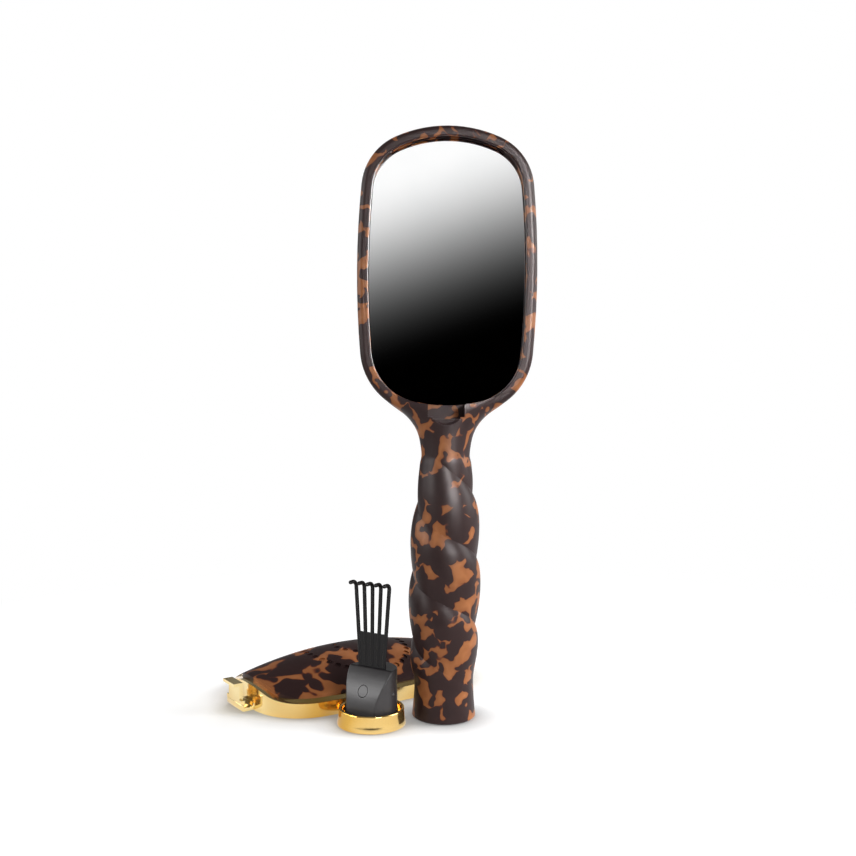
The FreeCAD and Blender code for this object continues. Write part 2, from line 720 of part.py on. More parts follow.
def make_latch():
    wide = "(brush.clip_width / 2)"
    narrow = "(brush.clip_width / 2 - brush.clip_shoulder)"
    inside = f"({CLIP_FACE} + brush.clip_thickness)"
    bend = "brush.clip_bend"
    top = above_rim("brush.clip_height")
    low = box("clip_low", (f"-{wide}", above_rim("brush.clip_shoulder_height"), CLIP_FACE),
              (wide, above_rim(bend), inside))
    high = box("clip_high", (f"-{narrow}", top, CLIP_FACE), (narrow, above_rim(bend), inside))
    lip = box("clip_lip", (f"-{narrow}", top, f"({CLIP_FACE} - brush.clip_lip_reach)"),
              (narrow, above_rim("brush.clip_height - brush.clip_lip_thickness"), inside))
    clip = joined("latch_clip", [low, high, lip])
    clip.Placement = laid_down()
    node(clip, "latch_clip")

    lift = "brush.clip_lift"
    outer = box("bend_outer", (f"-{wide}", above_rim(bend), CLIP_FACE),
                (wide, above_rim(lift), f"({COVER_FOOT} + brush.clip_thickness)"))
    inner = box("bend_inner", (f"-{wide}", above_rim(bend), inside),
                (wide, above_rim(f"{lift} + brush.clip_thickness"), COVER_FOOT))
    spring = cut("latch_bend", low_rounded(outer, "brush.clip_corner"),
                 low_rounded(inner, "brush.clip_inner_corner"))
    spring.Placement = laid_down()
    node(spring, "latch_bend")


# Cleaning tool: modelled on its own axis, front to -Y, then stood beside the handle
def stood_up():
    foot = vector("brush.tool_x", "brush.tool_y", "0")
    return FreeCAD.Placement(foot, turn_about(Z_AXIS, "brush.tool_turn"))


PLUG_TOP = "(brush.cup_height + brush.plug_height)"
RAKE_TOP = f"({PLUG_TOP} + brush.rake_height)"


def bound_profile(body, name, role, corners):
    """A closed sketch of straight sides, each corner tied to two formulas on the sheet."""
    plane = next(f for f in body.Origin.OriginFeatures if f.Role == role)
    sketch = body.newObject("Sketcher::SketchObject", name)
    sketch.AttachmentSupport = [(plane, "")]
    sketch.MapMode = "FlatFace"
    points = [vector(x, y, "0") for x, y in corners]
    for start, end in zip(points, points[1:] + points[:1]):
        sketch.addGeometry(Part.LineSegment(start, end))
    for side in range(len(points)):
        sketch.addConstraint(Sketcher.Constraint("Coincident", side, 2, (side + 1) % len(points), 1))
    for side, formulas in enumerate(corners):
        for kind, formula in zip(("DistanceX", "DistanceY"), formulas):
            index = sketch.addConstraint(Sketcher.Constraint(kind, -1, 1, side, 1, value(formula)))
            sketch.setExpression(f"Constraints[{index}]", formula)
    return sketch


def make_tool_cup():
    body = doc.addObject("PartDesign::Body", "tool_cup")
    corners = [
        ("0", "0"),
        ("brush.cup_foot_radius", "0"),
        ("brush.cup_rim_radius", "brush.cup_height"),
        ("brush.cup_rim_radius - brush.cup_wall", "brush.cup_height"),
        ("brush.cup_foot_radius - brush.cup_wall", "brush.cup_floor"),
        ("0", "brush.cup_floor"),
    ]
    profile = bound_profile(body, "cup_profile", "XZ_Plane", corners)
    spun = body.newObject("PartDesign::Revolution", "cup_spun")
    spun.Profile = profile
    spun.ReferenceAxis = (profile, ["V_Axis"])
    spun.Angle = 360
    doc.recompute()
    circles = []
    for index, edge in enumerate(spun.Shape.Edges, start=1):
        level = edge.BoundBox.ZMax
        outer = edge.BoundBox.XMax > value("brush.cup_rim_radius - brush.cup_wall / 2")
        if isinstance(edge.Curve, Part.Circle) and outer and level < value("brush.cup_floor"):
            circles.append(f"Edge{index}")
    rounded = body.newObject("PartDesign::Fillet", "cup_edge")
    rounded.Base = (spun, circles)
    rounded.setExpression("Radius", "brush.cup_edge_round")
    body.Tip = rounded
    body.Placement = stood_up()
    node(body, "tool_cup")


def make_tool_plug():
    blank = doc.addObject("PartDesign::Body", "plug_blank")
    corners = [
        ("0", "brush.cup_floor"),
        ("brush.plug_radius", "brush.cup_floor"),
        ("brush.plug_radius", "brush.cup_height"),
        ("brush.plug_top_radius", f"{PLUG_TOP} - brush.plug_shoulder"),
        ("brush.plug_top_radius - brush.plug_shoulder", PLUG_TOP),
        ("0", PLUG_TOP),
    ]
    profile = bound_profile(blank, "plug_profile", "XZ_Plane", corners)
    spun = blank.newObject("PartDesign::Revolution", "plug_spun")
    spun.Profile = profile
    spun.ReferenceAxis = (profile, ["V_Axis"])
    spun.Angle = 360
    doc.recompute()
    front = "(brush.plug_radius + brush.overrun)"
    steep = "(brush.plug_height / (brush.scarf_foot - brush.scarf_top))"
    scarf = [
        ("-brush.scarf_top", f"{PLUG_TOP} + brush.overrun"),
        ("-brush.scarf_top", PLUG_TOP),
        (f"-{front}", f"brush.cup_height - ({front} - brush.scarf_foot) * {steep}"),
        (f"-{front}", f"{PLUG_TOP} + brush.overrun"),
    ]
    slant = bound_profile(blank, "scarf_profile", "YZ_Plane", scarf)
    pocket = blank.newObject("PartDesign::Pocket", "scarf_cut")
    pocket.Profile = slant
    pocket.Type = "ThroughAll"
    pocket.Midplane = True
    blank.Tip = pocket
    doc.recompute()

    nubs = []
    for side, name in ((1, "nub_right"), (-1, "nub_left")):
        reach = f"{side} * (brush.bore_radius - brush.nub_radius - brush.fit / 3)"
        nubs.append(primitive("Sphere", name, {"Radius": "brush.nub_radius"},
                              vector(reach, "0", "brush.cup_height + brush.nub_height")))
    moulded = joined("plug_moulded", [blank, *nubs])
    half = f"({OUTER_TINE} * brush.tine_root_pitch + brush.tine_radius)"
    play = "(brush.rake_plate / 2 + brush.fit / 3)"
    tang_foot = f"({PLUG_TOP} - brush.tang_depth)"
    slot = box("tang_slot",
               (f"-({half} + brush.fit)", f"brush.rake_set_back - {play}", tang_foot),
               (f"{half} + brush.fit", f"brush.rake_set_back + {play}", f"{PLUG_TOP} + brush.overrun"))
    hole = cylinder("pin_hole", "brush.pin_radius", "brush.plug_radius + brush.pin_reach",
                    vector("0", "-brush.plug_radius", "brush.cup_height + brush.pin_height"),
                    FreeCAD.Rotation(X_AXIS, -90))
    groove = cylinder("pin_groove", "brush.pin_radius + brush.fit / 2",
                      "brush.plug_radius + brush.rake_set_back", hole.Placement.Base, hole.Placement.Rotation)
    plug = cut("tool_plug", moulded, joined("plug_cuts", [slot, hole, groove]))
    plug.Placement = stood_up()
    node(plug, "tool_plug")
    pin = common("rake_pin", blank, hole)
    pin.Placement = stood_up()
    node(pin, "rake_pin")


def tine_wire(number):
    """One tine's path: straight up, fanned out from its neighbours, then bent forward to its tip."""
    root_height, tip_height = value(PLUG_TOP), value(RAKE_TOP)
    radius, bend = value("brush.tine_radius"), value("brush.hook_bend")
    back = value("brush.rake_set_back")
    low = FreeCAD.Vector(number * value("brush.tine_root_pitch"), back, root_height + radius)
    high = FreeCAD.Vector(number * value("brush.tine_tip_pitch"), back, tip_height - radius)
    up = (high - low).normalize()
    start = high - up * bend
    forward = high - Y_AXIS * bend
    middle = high - up * bend - Y_AXIS * bend + (up + Y_AXIS) * (bend * math.sqrt(0.5))
    tip = high - Y_AXIS * (value("brush.hook_reach") - radius)
    edges = [
        Part.LineSegment(low, start).toShape(),
        Part.Arc(start, middle, forward).toShape(),
        Part.LineSegment(forward, tip).toShape(),
    ]
    return Part.Wire(edges), low, up, tip


def make_tool_rake():
    radius = value("brush.tine_radius")
    tines = []
    for number in range(TINES):
        path, low, up, tip = tine_wire(number - OUTER_TINE)
        ring = Part.Wire([Part.makeCircle(radius, low, up)])
        rod = path.makePipeShell([ring], True, True)
        tine = doc.addObject("Part::Feature", f"tine_{number + 1}")
        tine.Shape = rod.fuse(Part.makeSphere(radius, tip))
        tines.append(tine)
    plate = doc.addObject("PartDesign::Body", "rake_plate")
    half_low = f"({OUTER_TINE} * brush.tine_root_pitch + brush.tine_radius)"
    share = "(brush.web_height / brush.rake_height)"
    pitch = f"(brush.tine_root_pitch + (brush.tine_tip_pitch - brush.tine_root_pitch) * {share})"
    tang_foot = f"({PLUG_TOP} - brush.tang_depth)"
    corners = [
        (f"-{half_low}", tang_foot),
        (half_low, tang_foot),
        (half_low, PLUG_TOP),
        (f"{OUTER_TINE} * {pitch}", f"{PLUG_TOP} + brush.web_height"),
        (f"-{OUTER_TINE} * {pitch}", f"{PLUG_TOP} + brush.web_height"),
        (f"-{half_low}", PLUG_TOP),
    ]
    outline = bound_profile(plate, "plate_profile", "XZ_Plane", corners)
    pad = plate.newObject("PartDesign::Pad", "plate_pad")
    pad.Profile = outline
    pad.setExpression("Length", "brush.rake_plate")
    pad.Midplane = True
    plate.Tip = pad
    plate.Placement = FreeCAD.Placement(vector("0", "brush.rake_set_back", "0"), NO_TURN)
    hole = cylinder("tang_hole", "brush.pin_radius + brush.fit / 3", "2 * brush.plug_radius",
                    vector("0", "-brush.plug_radius", "brush.cup_height + brush.pin_height"),
                    FreeCAD.Rotation(X_AXIS, -90))
    rake = cut("tool_rake", joined("rake_moulded", [plate, *tines]), hole)
    rake.Placement = stood_up()
    node(rake, "tool_rake")


make_handle_frame()
make_mirror()
make_bristles()
make_cover_rim()
make_cover_dome()
make_latch()
make_tool_cup()
make_tool_plug()
make_tool_rake()
doc.recompute()

for obj in doc.Objects:
    if "Invalid" in obj.State or "Error" in obj.State:
        raise RuntimeError(f"{obj.Name} failed: {obj.State}")
for obj in nodes:
    if obj.Shape.isNull() or not obj.Shape.isValid():
        raise RuntimeError(f"{obj.Label} has no valid shape")

os.makedirs("parts", exist_ok=True)
for obj in nodes:
    obj.Shape.exportStep(f"parts/{obj.Label}.step")
    print(obj.Label, len(obj.Shape.Solids), "solids", round(obj.Shape.Volume), "mm3")
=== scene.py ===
# %% [markdown]
# # A boar bristle brush with a mirror, a clip-on cover and a cleaning rake
# The brush stands on the open foot of its twisted handle, with the mirror to the front. Its domed cover
# lies beside it, and the rake that combs out the bristles stands on its own gold cup. The solids come
# from CAD, in metres, and this lesson dresses them: finishes, bristles, cushion, light.

import math
import random

import bmesh
import bpy
from mathutils import Matrix, Vector


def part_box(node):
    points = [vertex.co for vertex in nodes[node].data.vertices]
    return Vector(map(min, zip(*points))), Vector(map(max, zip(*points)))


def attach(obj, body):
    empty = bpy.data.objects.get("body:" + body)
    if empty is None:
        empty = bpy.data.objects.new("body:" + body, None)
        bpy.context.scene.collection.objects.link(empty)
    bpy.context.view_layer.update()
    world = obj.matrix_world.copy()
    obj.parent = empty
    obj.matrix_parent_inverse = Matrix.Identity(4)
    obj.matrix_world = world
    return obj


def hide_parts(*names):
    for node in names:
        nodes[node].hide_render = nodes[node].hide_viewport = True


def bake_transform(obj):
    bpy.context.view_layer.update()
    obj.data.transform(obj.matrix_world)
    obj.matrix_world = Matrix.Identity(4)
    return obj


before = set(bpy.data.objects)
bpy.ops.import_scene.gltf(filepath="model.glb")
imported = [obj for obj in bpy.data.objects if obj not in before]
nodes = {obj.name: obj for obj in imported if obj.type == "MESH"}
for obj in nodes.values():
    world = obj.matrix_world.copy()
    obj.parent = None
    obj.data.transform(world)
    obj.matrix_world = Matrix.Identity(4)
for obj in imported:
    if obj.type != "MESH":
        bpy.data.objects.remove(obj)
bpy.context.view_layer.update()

# %% [markdown]
# ## Camera
# A product photo can be matched by guessing, or by working back from a shape whose true form is known.
# The handle's foot is a circle that shows as an ellipse, so its flatness gives the camera's height and
# distance, and the width of the foot in pixels gives the focal length. The camera looks along +Y and is
# rolled by half a degree, as the brush leans a little in the photo.

# %% Set up the camera
IMAGE_SIDE = 856
FOCAL_PIXELS = 915.0
SENSOR_WIDTH = 36.0
EYE = Vector((-0.0071, -0.366, 0.1234))
LOOK_DOWN = math.radians(1.25)
ROLL = math.radians(0.42)
NEAREST = 0.01

camera_data = bpy.data.cameras.new("photo_camera")
camera_data.sensor_width = SENSOR_WIDTH
camera_data.lens = SENSOR_WIDTH * FOCAL_PIXELS / IMAGE_SIDE
camera_data.clip_start = NEAREST
camera = bpy.data.objects.new("photo_camera", camera_data)
camera.location = EYE
tilt = Matrix.Rotation(math.pi / 2 - LOOK_DOWN, 4, "X") @ Matrix.Rotation(ROLL, 4, "Z")
camera.rotation_euler = tilt.to_euler()
bpy.context.scene.collection.objects.link(camera)
bpy.context.scene.camera = camera
bpy.context.scene.view_settings.view_transform = "Standard"
print("lens:", round(camera_data.lens, 2), "mm")

# %% [markdown]
# ## Helpers for finishes
# A finish is a small graph of nodes around one Principled shader. It could be built in the node editor;
# here a few helpers keep it short. One starts a material, one adds a node and fills its inputs from
# numbers or from other sockets, and the rest are the steps and patterns that finishes share. Colours
# are written as they look on screen, from 0 to 255, and turned into the light values Blender needs.


# %% Define the material helpers
def colour(red, green, blue):
    """A screen colour as linear light, by the sRGB formula, with full opacity."""
    shares = [value / 255 for value in (red, green, blue)]
    light = [s / 12.92 if s <= 0.04045 else ((s + 0.055) / 1.055) ** 2.4 for s in shares]
    return (*light, 1.0)


def add(tree, kind, inputs=None, **settings):
    """A new shader node, with its settings, numbers and links."""
    node = tree.nodes.new(f"ShaderNode{kind}")
    for key, value in settings.items():
        setattr(node, key, value)
    for key, value in (inputs or {}).items():
        if isinstance(value, bpy.types.NodeSocket):
            tree.links.new(value, node.inputs[key])
        else:
            node.inputs[key].default_value = value
    return node


def blank_tree(owner):
    """The emptied node tree of a new material or world."""
    owner.use_nodes = True
    owner.node_tree.nodes.clear()
    return owner.node_tree


def finish_material(name, **numbers):
    """A material with one Principled shader; numbers that are the same all over go on its own sockets."""
    material = bpy.data.materials.new(name)
    tree = blank_tree(material)
    surface = add(tree, "BsdfPrincipled")
    for socket, value in numbers.items():
        surface.inputs[socket.replace("_", " ")].default_value = value
    add(tree, "OutputMaterial", {"Surface": surface.outputs["BSDF"]})
    return material, tree, surface


print("node helpers ready")


# %% Define the arithmetic and patterns
def maths(tree, operation, first, second):
    """One step of arithmetic on two values."""
    return add(tree, "Math", {0: first, 1: second}, operation=operation).outputs[0]


def vector_maths(tree, operation, first, second):
    """One step of arithmetic on two vectors."""
    return add(tree, "VectorMath", {0: first, 1: second}, operation=operation).outputs["Vector"]


def share_between(tree, value, start, end):
    """How far a value has gone from start to end, from 0 to 1."""
    return add(tree, "MapRange", {"Value": value, "From Min": start, "From Max": end}).outputs["Result"]


def object_place(tree, shift=(0, 0, 0), turn=(0, 0, 0), scale=(1, 1, 1)):
    """The point on the piece, shifted and turned so that a pattern falls well on it."""
    place = add(tree, "TexCoord").outputs["Object"]
    return add(
        tree, "Mapping", {"Vector": place, "Location": shift, "Rotation": turn, "Scale": scale}
    ).outputs["Vector"]


def noise(tree, place, scale, detail):
    return add(tree, "TexNoise", {"Vector": place, "Scale": scale, "Detail": detail})


def ramp(tree, factor, stops):
    """A colour ramp through (position, colour) stops."""
    node = add(tree, "ValToRGB", {"Fac": factor})
    elements = node.color_ramp.elements
    while len(elements) < len(stops):
        elements.new(1.0)
    for element, (position, tint) in zip(elements, stops):
        element.position = position
        element.color = tint
    return node.outputs["Color"]


def spread(tree, factor, low, high):
    """A 0 to 1 value stretched between two numbers."""
    return add(tree, "MapRange", {"Value": factor, "To Min": low, "To Max": high}).outputs["Result"]


def blended(tree, share, start, end):
    """A value part of the way from start to end."""
    return add(tree, "Mix", {0: share, 2: start, 3: end}, data_type="FLOAT").outputs[0]


def bumped(tree, surface, height, depth, strength):
    """Fine relief on the shader from a height pattern, depth in metres."""
    bump = add(tree, "Bump", {"Height": height, "Distance": depth, "Strength": strength})
    tree.links.new(bump.outputs["Normal"], surface.inputs["Normal"])


print("arithmetic and patterns ready")

# %% [markdown]
# ## Tortoiseshell
# The handle and the cover are moulded in brown acetate with amber flakes, each flake 6 to 14 mm across.
# Thresholded noise gives round islands, and Voronoi cells give tiles all of a size, but these flakes have
# hollow sides and sharp points: the shape that is left over between round things. So four soft clouds of
# brown are drawn over each other, and the amber is whatever none of them covers. A slow warp bends it
# all, and a narrow rust band in the ramp is the thin edge where amber fades into brown.


# %% Make the tortoiseshell
BROWN = colour(50, 34, 33)
DEEP_BROWN = colour(42, 28, 28)
RUST = colour(96, 50, 34)
AMBER = colour(140, 86, 51)
PALE_AMBER = colour(160, 102, 62)
WARP_SCALE = 180.0
WARP_REACH = 0.006
CLOUDS = 4
CLOUD_STEP = Vector((0.37, 0.61, 0.23))
CLOUD_SCALE = 120.0
BROWN_LEVEL = 0.582
EDGE_BAND = 0.01
PALE_STEP = 0.15
SATIN_SCALE = 900.0
SATIN_ROUGHNESS = (0.36, 0.48)
SATIN_DEPTH = 0.00004
SATIN_STRENGTH = 0.2
ACETATE_IOR = 1.46


def tortoiseshell(name, shift, fineness, sheen, turn=(0, 0, 0)):
    material, tree, surface = finish_material(name, IOR=ACETATE_IOR, Specular_IOR_Level=sheen)
    place = object_place(tree, shift, turn, (fineness,) * 3)
    slow = noise(tree, place, WARP_SCALE, detail=1.0).outputs["Color"]
    swing = vector_maths(tree, "SUBTRACT", slow, (0.5, 0.5, 0.5))
    offset = vector_maths(tree, "MULTIPLY", swing, (WARP_REACH,) * 3)
    warped = vector_maths(tree, "ADD", place, offset)
    cover = noise(tree, warped, CLOUD_SCALE, detail=0.0).outputs["Fac"]
    for number in range(1, CLOUDS):
        beside = vector_maths(tree, "ADD", warped, CLOUD_STEP * number)
        cloud = noise(tree, beside, CLOUD_SCALE, detail=0.0).outputs["Fac"]
        cover = maths(tree, "MAXIMUM", cover, cloud)
    tint = ramp(
        tree,
        cover,
        [
            (BROWN_LEVEL - PALE_STEP, PALE_AMBER),
            (BROWN_LEVEL - EDGE_BAND, AMBER),
            (BROWN_LEVEL, RUST),
            (BROWN_LEVEL + EDGE_BAND, BROWN),
            (1.0, DEEP_BROWN),
        ],
    )
    tree.links.new(tint, surface.inputs["Base Color"])
    satin = noise(tree, place, SATIN_SCALE, detail=3.0).outputs["Fac"]
    tree.links.new(spread(tree, satin, *SATIN_ROUGHNESS), surface.inputs["Roughness"])
    bumped(tree, surface, satin, SATIN_DEPTH, SATIN_STRENGTH)
    return material


shell_frame = tortoiseshell("tortoiseshell_frame", shift=(1.23, 1.1, 1.35), fineness=1.1, sheen=0.17)
shell_cover = tortoiseshell(
    "tortoiseshell_cover", shift=(1.95, 2.7, 0.34), fineness=0.66, sheen=0.1, turn=(0.2, 0.1, 0.7)
)
print("tortoiseshell:", shell_frame.name, shell_cover.name)

# %% [markdown]
# ## Gold and mirror
# The rim, the clip and the cup are gold-plated and polished. One flat yellow on a metal shader would do,
# but it looks like a computer's perfect gold, so the tint drifts slowly between a deep and a pale gold,
# and a faint cloud lies in the roughness. The mirror is silvered glass with a breath of haze.

# %% Make the gold and the mirror
DEEP_GOLD = colour(216, 170, 80)
PALE_GOLD = colour(246, 223, 163)
GOLD_METALLIC = 0.95
GOLD_DRIFT_SCALE = 32.0
GOLD_CLOUD_SCALE = 140.0
GOLD_ROUGHNESS = (0.06, 0.16)
SILVER = colour(251, 252, 252)
WHITE = colour(255, 255, 255)
HAZE_SCALE = 60.0
HAZE_ROUGHNESS = (0.01, 0.025)


def gold_plate():
    material, tree, surface = finish_material("gold_plate", Metallic=GOLD_METALLIC)
    place = object_place(tree)
    drift = noise(tree, place, GOLD_DRIFT_SCALE, detail=1.0).outputs["Fac"]
    tree.links.new(ramp(tree, drift, [(0.35, DEEP_GOLD), (0.65, PALE_GOLD)]), surface.inputs["Base Color"])
    cloud = noise(tree, place, GOLD_CLOUD_SCALE, detail=4.0).outputs["Fac"]
    tree.links.new(spread(tree, cloud, *GOLD_ROUGHNESS), surface.inputs["Roughness"])
    return material


def silvered_glass():
    material, tree, surface = finish_material("silvered_glass", Metallic=1.0)
    haze = noise(tree, object_place(tree), HAZE_SCALE, detail=3.0).outputs["Fac"]
    tree.links.new(ramp(tree, haze, [(0.2, SILVER), (0.8, WHITE)]), surface.inputs["Base Color"])
    tree.links.new(spread(tree, haze, *HAZE_ROUGHNESS), surface.inputs["Roughness"])
    return material


gold = gold_plate()
mirror = silvered_glass()
print("finishes:", gold.name, mirror.name)

# %% [markdown]
# ## Nylon and foam
# The rake and its peg are one dark nylon, with the fine grain that a mould leaves: too small to model, so
# it is a bump. The nylon is made in two copies: a lighter one on the peg, painted light for the light that
# its slanted face catches, and a darker one on the rake, painted shade for the shade among its tines. The
# foam tape behind the mirror is hardly seen, so one pattern in its colour is enough.

# %% Make the nylon and the foam
NYLON_IOR = 1.5
NYLON_GRAIN_SCALE = 1600.0
NYLON_CLOUD_SCALE = 120.0
NYLON_ROUGHNESS = (0.36, 0.46)
NYLON_GRAIN_DEPTH = 0.00005
NYLON_GRAIN_STRENGTH = 0.3
FOAM_ROUGHNESS = 0.9
FOAM_CELL_SCALE = 1500.0
FOAM_DARK = colour(150, 150, 148)
FOAM_LIGHT = colour(200, 200, 197)


def moulded_nylon(name, low, high, sheen):
    material, tree, surface = finish_material(name, IOR=NYLON_IOR, Specular_IOR_Level=sheen)
    place = object_place(tree)
    grain = noise(tree, place, NYLON_GRAIN_SCALE, detail=2.0).outputs["Fac"]
    cloud = noise(tree, place, NYLON_CLOUD_SCALE, detail=3.0).outputs["Fac"]
    tree.links.new(ramp(tree, cloud, [(0.3, low), (0.7, high)]), surface.inputs["Base Color"])
    tree.links.new(spread(tree, cloud, *NYLON_ROUGHNESS), surface.inputs["Roughness"])
    bumped(tree, surface, grain, NYLON_GRAIN_DEPTH, NYLON_GRAIN_STRENGTH)
    return material


def soft_grey_foam():
    material, tree, surface = finish_material("grey_foam", Roughness=FOAM_ROUGHNESS)
    cells = noise(tree, object_place(tree), FOAM_CELL_SCALE, detail=2.0).outputs["Fac"]
    tree.links.new(ramp(tree, cells, [(0.35, FOAM_DARK), (0.65, FOAM_LIGHT)]), surface.inputs["Base Color"])
    return material


# One nylon in two copies: the rake's is darker, painted shade; the peg's is lighter, painted light
nylon = moulded_nylon("rake_nylon_and_painted_shade", low=colour(13, 11, 12), high=colour(18, 16, 17), sheen=0.22)
nylon_and_painted_light = moulded_nylon("peg_nylon_and_painted_light", low=colour(40, 37, 38), high=colour(48, 45, 46), sheen=0.45)
foam = soft_grey_foam()
print("finishes:", nylon.name, nylon_and_painted_light.name, foam.name)

# %% [markdown]
# ## Rubber and boar hair
# The bristle side faces away from the camera. Boar hair is dark at the root and paler at its split tip,
# so the colour follows the height above the cushion, with a little difference from hair to hair. The
# cushion and the plate under it are matt and dark brown, with a fine tooth.

# %% Make the rubber and the hair
RUBBER_IOR = 1.5
TOOTH_SCALE = 1100.0
TOOTH_ROUGHNESS = (0.5, 0.68)
TOOTH_DEPTH = 0.00006
TOOTH_STRENGTH = 0.3
RUBBER_CLOUD_SCALE = 90.0
HAIR_IOR = 1.55
HAIR_ROOT = 0.009
HAIR_TIP = 0.0237
HAIR_COLOURS = [(0.0, colour(40, 28, 22)), (0.6, colour(74, 53, 39)), (1.0, colour(126, 95, 67))]
STRAND_SHADE = colour(196, 196, 196)
STRAND_SCALE = 2600.0
STRAND_STRETCH = (1, 0.02, 1)
STRAND_ROUGHNESS = (0.3, 0.5)


def matt_rubber(name, low, high):
    material, tree, surface = finish_material(name, IOR=RUBBER_IOR)
    place = object_place(tree)
    tooth = noise(tree, place, TOOTH_SCALE, detail=3.0).outputs["Fac"]
    cloud = noise(tree, place, RUBBER_CLOUD_SCALE, detail=2.0).outputs["Fac"]
    tree.links.new(ramp(tree, cloud, [(0.3, low), (0.7, high)]), surface.inputs["Base Color"])
    tree.links.new(spread(tree, tooth, *TOOTH_ROUGHNESS), surface.inputs["Roughness"])
    bumped(tree, surface, tooth, TOOTH_DEPTH, TOOTH_STRENGTH)
    return material


def boar_hair():
    material, tree, surface = finish_material("boar_hair", IOR=HAIR_IOR)
    height = add(tree, "SeparateXYZ", {"Vector": object_place(tree)}).outputs["Y"]
    along = ramp(tree, share_between(tree, height, HAIR_ROOT, HAIR_TIP), HAIR_COLOURS)
    strands = noise(tree, object_place(tree, scale=STRAND_STRETCH), STRAND_SCALE, detail=1.0).outputs["Fac"]
    across = ramp(tree, strands, [(0.3, STRAND_SHADE), (0.7, WHITE)])
    both = {0: 1.0, 6: along, 7: across}
    tint = add(tree, "Mix", both, data_type="RGBA", blend_type="MULTIPLY").outputs[2]
    tree.links.new(tint, surface.inputs["Base Color"])
    tree.links.new(spread(tree, strands, *STRAND_ROUGHNESS), surface.inputs["Roughness"])
    return material


rubber = matt_rubber("cushion_rubber", low=colour(42, 35, 33), high=colour(55, 47, 43))
base_plastic = matt_rubber("base_plastic", low=colour(44, 36, 33), high=colour(58, 48, 44))
hair = boar_hair()
print("finishes:", [m.name for m in (rubber, base_plastic, hair)])

# %% [markdown]
# ## Dressing the CAD solids
# A solid whose shape is already right keeps its mesh and only gets a finish in its material slot.

# %% Assign the finishes to the solids
FINISHES = {
    "handle_frame": shell_frame,
    "cover_dome": shell_cover,
    "mirror_glass": mirror,
    "mirror_tape": foam,
    "bristle_base": base_plastic,
    "bristle_cushion": rubber,
    "cover_rim": gold,
    "latch_clip": gold,
    "latch_bend": gold,
    "tool_cup": gold,
    "tool_plug": nylon_and_painted_light,
    "rake_pin": nylon_and_painted_light,
    "tool_rake": nylon,
}
for name, solid in nodes.items():
    for slot in solid.material_slots:
        slot.material = FINISHES.get(name, hair)
print("dressed:", len(nodes), "solids")

# %% [markdown]
# ## Starting a new piece
# Each new piece is a bmesh that ends as a mesh object at the origin, with its place in its points. Its
# normals are turned outwards and its faces shade smoothly.


# %% Define the piece helper
def piece_from(name, bm, material):
    """A new object from a finished bmesh."""
    bmesh.ops.recalc_face_normals(bm, faces=bm.faces)
    mesh = bpy.data.meshes.new(name)
    bm.to_mesh(mesh)
    bm.free()
    mesh.polygons.foreach_set("use_smooth", [True] * len(mesh.polygons))
    mesh.materials.append(material)
    piece = bpy.data.objects.new(name, mesh)
    bpy.context.scene.collection.objects.link(piece)
    return piece


print("piece helper ready")

# %% [markdown]
# ## Spring of the latch
# The clip is one strip of sprung metal: it leaves the cover's rim, turns back under itself and rises as
# the leg that a fingertip presses. The turn is drawn as a flat outline, its outer and inner corners
# rounded with arcs, and pushed out to the strip's width; a small bevel then breaks the sharp edges.

# %% Draw the turn of the strip
COVER_CENTRE = Vector((-0.0389, 0.0398, 0))
COVER_HEADING = math.radians(36.3)
RIM_END = -0.0526
STRIP_WIDTH = 0.0138
STRIP_THICKNESS = 0.0015
STRIP_GAP = 0.0038
STRIP_LOW = 0.0003
STRIP_TOP = 0.0032
OUTER_CORNER = 0.0013
INNER_CORNER = 0.0005
CORNER_STEPS = 8
STRIP_EDGE = 0.0002
STRIP_EDGE_STEPS = 2
STRIP_CREASE = math.radians(60)


def turned_path(left, right, low, corner):
    """Points down one leg, round two corners and up the other, as (along, height)."""
    points = [(left, STRIP_TOP)]
    for middle, first in ((left + corner, math.pi), (right - corner, 1.5 * math.pi)):
        for step in range(CORNER_STEPS + 1):
            angle = first + step * math.pi / 2 / CORNER_STEPS
            points.append((middle + corner * math.cos(angle), low + corner + corner * math.sin(angle)))
    points.append((right, STRIP_TOP))
    return points


print("corner radii:", OUTER_CORNER, INNER_CORNER)

# %% Push out the strip of the latch
cover_place = Matrix.Translation(COVER_CENTRE) @ Matrix.Rotation(COVER_HEADING, 4, "Z")
far_end = RIM_END - STRIP_GAP
outer = turned_path(far_end - STRIP_THICKNESS, RIM_END + STRIP_THICKNESS, STRIP_LOW, OUTER_CORNER)
inner = turned_path(far_end, RIM_END, STRIP_LOW + STRIP_THICKNESS, INNER_CORNER)
bm = bmesh.new()
rails = []
for path in (outer, inner):
    rails.append([bm.verts.new((along, -STRIP_WIDTH / 2, height)) for along, height in path])
side_faces = [
    bm.faces.new((a, b, d, c))
    for a, b, c, d in zip(rails[0], rails[0][1:], rails[1], rails[1][1:])
]
pushed = bmesh.ops.extrude_face_region(bm, geom=side_faces)
moved = [item for item in pushed["geom"] if isinstance(item, bmesh.types.BMVert)]
bmesh.ops.translate(bm, verts=moved, vec=(0, STRIP_WIDTH, 0))
bmesh.ops.recalc_face_normals(bm, faces=bm.faces)
sharp = [
    edge
    for edge in bm.edges
    if len(edge.link_faces) == 2
    and edge.calc_face_angle(0) > STRIP_CREASE
    and max(vert.co.z for vert in edge.verts) < STRIP_TOP
]
bmesh.ops.bevel(
    bm,
    geom=sharp,
    offset=STRIP_EDGE,
    segments=STRIP_EDGE_STEPS,
    profile=0.5,
    affect="EDGES",
    material=-1,
)
bm.transform(cover_place)
strip = piece_from("latch_strip", bm, gold)
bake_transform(strip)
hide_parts("latch_bend")

